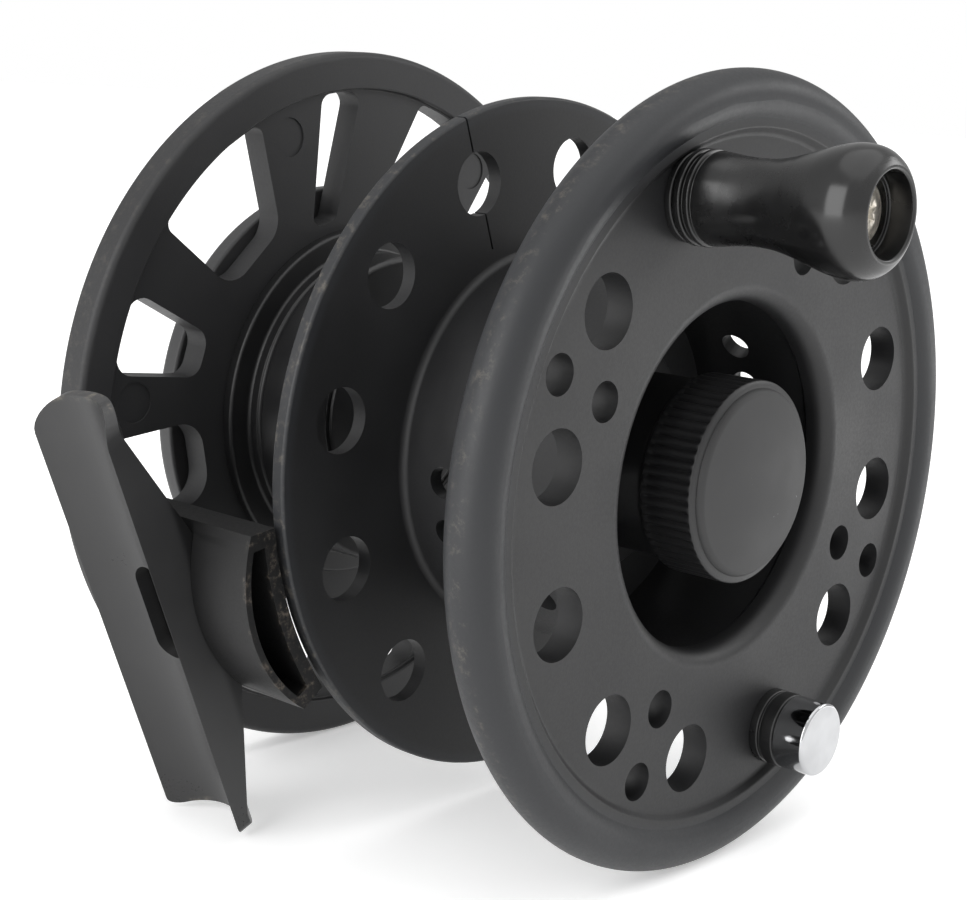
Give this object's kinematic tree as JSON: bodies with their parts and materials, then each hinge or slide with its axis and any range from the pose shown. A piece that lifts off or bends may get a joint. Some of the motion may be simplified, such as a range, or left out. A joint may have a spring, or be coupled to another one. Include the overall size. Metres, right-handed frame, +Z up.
{
  "type": "fly reel",
  "caption": "Large-arbor fly reel with a half frame, reel foot, drag knob, ported spool with palming rim, crank handle and lock knob, spool drawn forward off its spindle.",
  "frame": {"origin": "on the reel's axis, at the front face of the back plate", "axes": "-Y forward along the axis, towards the crank side; +Z up, with the rims and the foot's lower tip standing on the floor; +X away from the foot"},
  "size_m": [0.1125, 0.1026, 0.1],
  "materials": {
    "frame_moulding": "fine-textured black composite",
    "spool_moulding": "fine-textured black composite, bluish sheen on the rim",
    "foot_black": "black anodised, scuffed at the edges",
    "drag_black": "satin black",
    "grip_black": "satin black, knurled",
    "pad_soft": "matte soft touch",
    "handle_gloss": "polished black",
    "trim_black": "semi-gloss black",
    "chrome": "polished",
    "steel": "bright machined",
    "screw_steel": "zinc plated",
    "aluminium": "turned",
    "brass": "turned",
    "acetal": "plain",
    "liner": "woven friction lining",
    "rubber": "plain"
  },
  "bodies": {
    "reel_frame": {"frame": "frame_moulding", "reel_foot": "foot_black", "foot_screws": "screw_steel", "spindle": "steel", "drag_housing": "drag_black", "housing_screws": "screw_steel", "seal_ring": "rubber", "reaction_ring": "steel", "hub_clip": "steel", "pawl_pin": "steel", "pawl_spring": "steel", "knob_cap": "drag_black"},
    "pressure_set": {"pressure_plate": "steel", "thrust_pins": "steel", "thrust_ring": "steel"},
    "drag_adjuster": {"drag_knob": "drag_black", "drag_spring": "steel"},
    "pawl": {"click_pawl": "brass"},
    "rotor": {"drag_rotor": "aluminium", "friction_liners": "liner", "clutch_shell": "steel", "clutch_rollers": "steel"},
    "hub": {"clutch_hub": "aluminium", "click_wheel": "brass"},
    "spool_unit": {"spool": "spool_moulding", "hub_bushings": "brass", "drive_ring": "aluminium", "handle_post": "aluminium", "handle_washer": "trim_black", "handle_screw": "screw_steel", "counterweight_base": "trim_black", "counterweight_cap": "chrome", "counterweight_screw": "screw_steel", "lock_clip": "steel"},
    "crank_handle": {"handle_knob": "handle_gloss", "handle_bushing": "acetal"},
    "locking_knob": {"lock_knob": "grip_black", "lock_knob_pad": "pad_soft"}
  },
  "joints": [
    {"name": "spool_spin", "type": "hinge", "parent": "reel_frame", "child": "hub", "pos_m": [0, 0, 0], "axis": [0, -1, 0], "continuous": true},
    {"name": "spool_draw", "type": "slide", "parent": "hub", "child": "spool_unit", "axis": [0, -1, 0], "range_m": [-0.02867, 0.018]},
    {"name": "handle_spin", "type": "hinge", "parent": "spool_unit", "child": "crank_handle", "pos_m": [-0.01359, -0.0806, 0.03485], "axis": [0, -1, 0], "continuous": true},
    {"name": "lock_knob_turn", "type": "hinge", "parent": "spool_unit", "child": "locking_knob", "pos_m": [0, -0.055, 0], "axis": [0, -1, 0], "range_deg": [0, 540]},
    {"name": "drag_rotor_spin", "type": "hinge", "parent": "reel_frame", "child": "rotor", "pos_m": [0, -0.0035, 0], "axis": [0, -1, 0], "continuous": true},
    {"name": "drag_knob_turn", "type": "hinge", "parent": "reel_frame", "child": "drag_adjuster", "pos_m": [0, 0.006, 0], "axis": [0, -1, 0], "range_deg": [0, 300]},
    {"name": "pressure_slide", "type": "slide", "parent": "reel_frame", "child": "pressure_set", "axis": [0, -1, 0], "range_m": [0, 0.00025]},
    {"name": "pawl_rock", "type": "hinge", "parent": "reel_frame", "child": "pawl", "pos_m": [0, -0.007, 0.0154], "axis": [0, -1, 0], "range_deg": [-12, 12], "stiffness_Nm_per_rad": 0.002}
  ],
  "couplings": [
    {"joint": "pressure_slide", "follows": "drag_knob_turn", "m_per_rad": 0.000047746}
  ]
}
